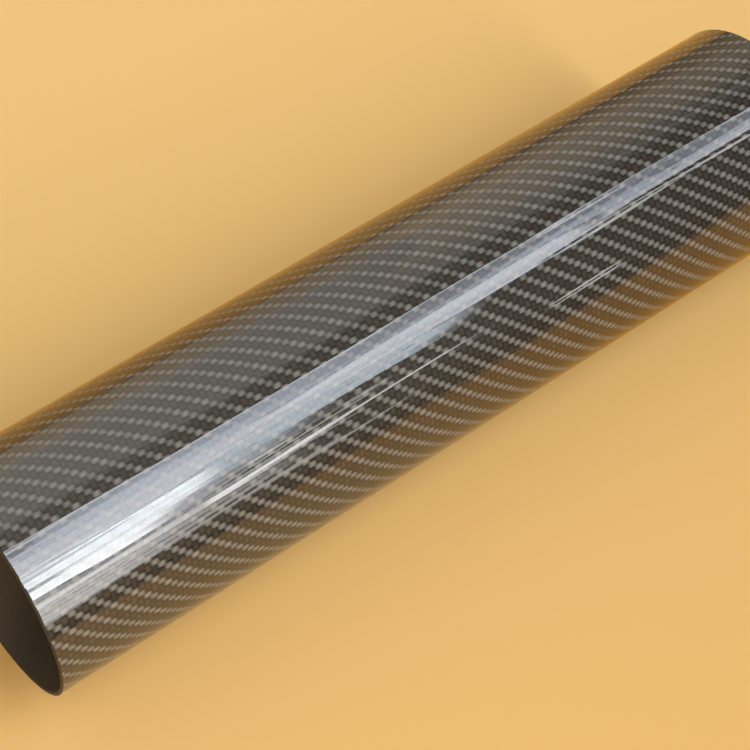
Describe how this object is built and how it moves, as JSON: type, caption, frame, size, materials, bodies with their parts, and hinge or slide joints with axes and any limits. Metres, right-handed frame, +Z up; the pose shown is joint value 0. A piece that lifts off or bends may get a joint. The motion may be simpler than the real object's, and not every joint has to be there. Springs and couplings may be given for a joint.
{
  "type": "carbon fibre tube",
  "caption": "Straight round tube of rolled twill-weave carbon fibre laminate with a gloss clear coat, an open bore and square-cut ends.",
  "frame": {"origin": "on the tube's lowest line, halfway along it: the bottom centre of its box as it lies", "axes": "+X along the tube's axis, +Z up, +Y level and square to the tube"},
  "size_m": [0.35, 0.086, 0.086],
  "materials": {
    "coated_laminate": "black 2x2 twill carbon weave under a smooth gloss clear coat"
  },
  "bodies": {
    "root": {"tube": "coated_laminate"}
  },
  "joints": []
}
